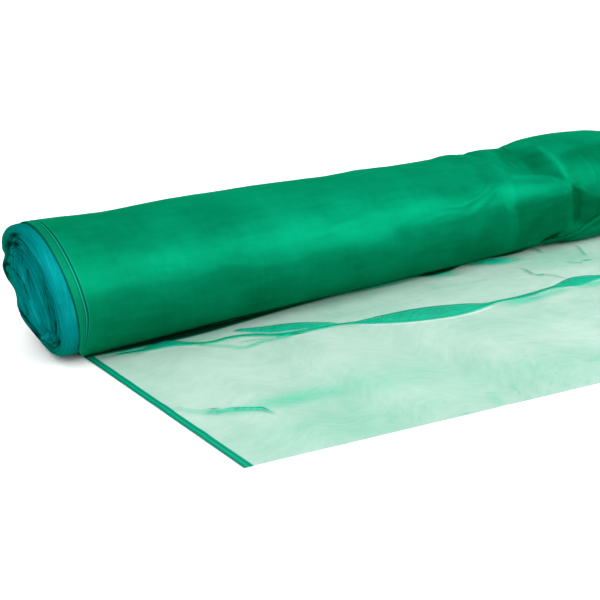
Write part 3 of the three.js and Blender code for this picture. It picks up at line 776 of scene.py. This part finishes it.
def makeLooseEnd(finish):
    s = loose
    rows, columns = sum(count for _, count in rowRuns), spread(columnRuns)
    mesh, column, row = flatGrid(len(columns) - 1, rows)
    x = columns[column.astype(int)]
    backEdge, frontEdge = tableAt(frontPleat, x, 1), tableAt(frontPleat, x, 2)
    wide = np.maximum(0, backEdge - frontEdge)
    frontEdge = backEdge - wide
    back2, front2 = tableAt(backPleat, x, 1), tableAt(backPleat, x, 2)
    wide2 = np.maximum(0, back2 - front2) * (np.abs(x - 0.31) < 0.085)
    front2 = back2 - wide2
    cutLine = -cut["length"] - cut["slant"] * x
    lift = s["layer"] * ease(wide / 0.003) * (0.3 + 0.7 * ease((wide - 0.006) / 0.025))
    lift2 = s["layer"] * ease(wide2 / 0.006)
    land, land2 = frontEdge - s["lap"], front2 - s["lap"]
    runs = {  # each stretch: where it starts and ends, and its height on the way
        "toBack": (s["root"] + 0 * x, front2, lambda p: 0 * p),
        "backUnder": (front2, back2, lambda p: lift2 * (0.3 + 0.7 * np.sin(p * math.pi / 2))),
        "backTurn": (back2, back2, lambda p: lift2 * (1 + p)),
        "backOver": (back2, land2, lambda p: 2 * lift2 * (1 - ease((p - 0.6) / 0.4))),
        "between": (land2, frontEdge, lambda p: 0 * p),
        "frontUnder": (frontEdge, backEdge, lambda p: lift * (0.3 + 0.7 * np.sin(p * math.pi / 2))),
        "frontTurn": (backEdge, backEdge, lambda p: lift * (1 + p)),
        "frontOver": (backEdge, land, lambda p: (1 - ease((p - 0.72) / 0.28)) * lift
                      * (2 + np.sin(math.pi * np.clip(p / 0.9, 0, 1)))),
        "toCut": (land, cutLine, lambda p: 0 * p),
    }
    y, z = np.zeros_like(x), np.zeros_like(x)
    starts, start = {}, 0
    for name, count in rowRuns:
        here = (row >= start) & (row <= start + count)
        p = np.clip((row - start) / count, 0, 1)
        if name == "frontOver":
            p = 1 - (1 - p) ** 1.3
        a, b, height = runs[name]
        y, z = np.where(here, a + (b - a) * p, y), np.where(here, height(p), z)
        starts[name] = start
        start += count
    for first, last, a, b, w in (("backUnder", "between", front2, land2, ease(wide2 / 0.003)),
                                 ("frontUnder", "toCut", frontEdge, land, ease(wide / 0.002))):
        p = np.clip((row - starts[first]) / (starts[last] - starts[first]), 0, 1)
        inFold = (row >= starts[first]) & (row <= starts[last])
        # unfolded where the pleat has no width
        y = np.where(inFold, w * y + (1 - w) * (a + (b - a) * p), y)
    order = np.lexsort((row, column))  # how far each point lies along its own column of net
    steps = np.hypot(np.diff(y[order], prepend=0), np.diff(z[order], prepend=0))
    steps[row[order] == 0] = 0
    run = np.cumsum(steps)
    length = np.zeros_like(x)
    length[order] = run - np.repeat(run[row[order] == 0], rows + 1)
    folded = (row > starts["frontUnder"]) & (row < starts["toCut"])
    folded2 = (row > starts["backUnder"]) & (row < starts["between"])
    gather = 0.30 * folded * ease(wide / 0.004) + 0.30 * folded2 * ease(wide2 / 0.004)
    over = (row >= starts["frontTurn"]) & (row < starts["toCut"])
    over2 = (row >= starts["backTurn"]) & (row < starts["between"])
    bends = bump((y - backEdge) / 0.0026) + bump((y - frontEdge) / 0.0030)
    bends2 = bump((y - back2) / 0.0024) + bump((y - front2) / 0.0026)
    line = 0.75 * over * ease(wide / 0.003) * bends + 0.60 * over2 * ease(wide2 / 0.004) * bends2
    free = 1 - np.clip(folded * ease(wide / 0.003) + folded2 * ease(wide2 / 0.003), 0, 1)
    # a painted highlight: paler rims along the pleat's landing and its back edge
    pale = bump((y - land + 0.001) / 0.0055) * ease(wide / 0.012)
    pale = pale + 0.6 * bump((y - backEdge - 0.003) / 0.004)
    gather = gather - 0.30 * pale * free * ease((wide - 0.004) / 0.008)
    for points, half, rise, much, dark in creases:
        z = z + rise * strokeNear(x, y, points, half * 1.6) * free
        gather = gather + much * strokeNear(x, y, points, half) * free
        line = line + dark * strokeNear(x, y, points, half * 0.55) * free
    for px, py, halfX, halfY, slant, much in haze:
        off = (x - px, y - py - slant * (x - px))
        gather = gather + much * bump(np.hypot(off[0] / halfX, off[1] / halfY)) ** 1.5 * free
    slack = ease((-y - 0.05) / 0.04) * ease((y - cutLine) / 0.03) * free
    wavy = 0.0006 * ripple(x, y, 12, 0.11, 0.06) + 0.0004 * ripple(x, y, 31, 0.045, 0.12)
    z = z + np.maximum(0, wavy) * slack + 0.0010
    room = axisHeight - np.sqrt(np.maximum(0, roll["radius"] ** 2 - y ** 2)) + (y < -roll["radius"])
    z = np.minimum(z, np.maximum(0.0004, room - 0.0006))
    z = np.where((y > -0.060) & (np.abs(x - 1.08) < 0.12), np.minimum(z, 0.0007), z)
    shadow = tableAt(nipShade, x)
    # painted shadow where the net runs into the nip under the roll
    night = ease((y + shadow + 0.004) / 0.010)
    laid = np.stack([x, length], -1)
    place(mesh, np.stack([x, y, z], -1), laid)
    keep(mesh, gather=gather, line=line, night=night)
    return makePiece("loose_end_net", mesh, finish, "loose_end")



outerTurn = makeSkin(woundNet())
innerTurns = makeTurns(woundTurns())
looseEnd = makeLooseEnd(sheerNet())


# ---------- floor, light and camera

stageSet = {
    "floor": 60.0, "world": 0.98, "sun": 2.5, "sunAngle": 60, "panel": 90.0,
    "panelSpot": (2.6, -2.9, 1.95), "panelSize": (3.6, 1.0),
}


def paleFloor():
    t = Tree("pale_floor")
    spot = t.add("ShaderNodeTexCoord", {}, {}, out="Object")
    colour = t.mix(t.noise(spot, 0.7, 2.0) + 0.5, (0.92, 0.92, 0.92, 1), (0.95, 0.95, 0.95, 1))
    return t.cover({"Base Color": colour, "Roughness": 0.9, "Specular IOR Level": 0.1})


def makeStage():
    s = stageSet
    mesh = bmesh.new()
    bmesh.ops.create_grid(mesh, x_segments=8, y_segments=8, size=s["floor"] / 2)
    data = bpy.data.meshes.new("floor")
    mesh.to_mesh(data)
    mesh.free()
    data.materials.append(paleFloor())
    floor = bpy.data.objects.new("floor", data)
    scene.collection.objects.link(floor)
    world = bpy.data.worlds.new("studio")
    scene.world = world
    world.use_nodes = True
    world.node_tree.nodes["Background"].inputs["Color"].default_value = (1, 1, 1, 1)
    world.node_tree.nodes["Background"].inputs["Strength"].default_value = s["world"]
    sun = bpy.data.lights.new("soft_sun", "SUN")
    sun.energy, sun.angle = s["sun"], math.radians(s["sunAngle"])
    lamp = bpy.data.objects.new("soft_sun", sun)
    lamp.rotation_euler = (math.radians(40), math.radians(-20), 0)
    scene.collection.objects.link(lamp)
    panel = bpy.data.lights.new("panel", "AREA")
    panel.shape, panel.energy = "RECTANGLE", s["panel"]
    panel.size, panel.size_y = s["panelSize"]
    lamp = bpy.data.objects.new("panel", panel)
    lamp.location = s["panelSpot"]
    aim = Vector((0.1, 0.3, 0.1)) - lamp.location
    lamp.rotation_euler = aim.to_track_quat("-Z", "Y").to_euler()
    scene.collection.objects.link(lamp)
    print("stage is ready")


def makeCamera():
    data = bpy.data.cameras.new("camera")
    data.sensor_width, data.lens = 36.0, 59.81
    camera = bpy.data.objects.new("camera", data)
    camera.location = Vector((-0.5465, -1.2817, 0.5381)) + corner
    camera.rotation_euler = (math.radians(90 - 18.74), 0, math.radians(-36.74))
    scene.collection.objects.link(camera)
    scene.camera = camera
    print("camera is ready")


makeStage()
makeCamera()
scene.view_settings.view_transform = "Standard"
scene.view_settings.look = "None"
